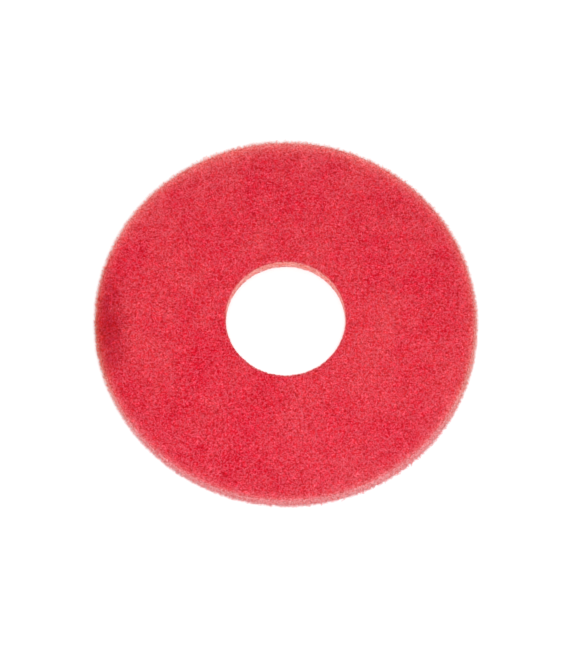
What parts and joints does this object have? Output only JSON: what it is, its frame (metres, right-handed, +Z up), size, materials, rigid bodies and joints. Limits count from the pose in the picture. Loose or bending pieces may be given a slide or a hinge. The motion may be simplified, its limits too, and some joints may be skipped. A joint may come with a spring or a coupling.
{
  "type": "rotary floor machine pad",
  "caption": "Round buffing pad of red nonwoven fibre with a round die-cut centre hole, for a rotary floor machine.",
  "frame": {"origin": "centre of the pad's floor face, on the axis of the centre hole", "axes": "+Z up the pad's axis, from the floor face to the face that the pad driver grips; the pad is round, so +X and +Y are any two directions across it"},
  "size_m": [0.28, 0.28, 0.012],
  "materials": {
    "red_fibre": "matte"
  },
  "bodies": {
    "root": {"fibre_pad": "red_fibre"}
  },
  "joints": []
}
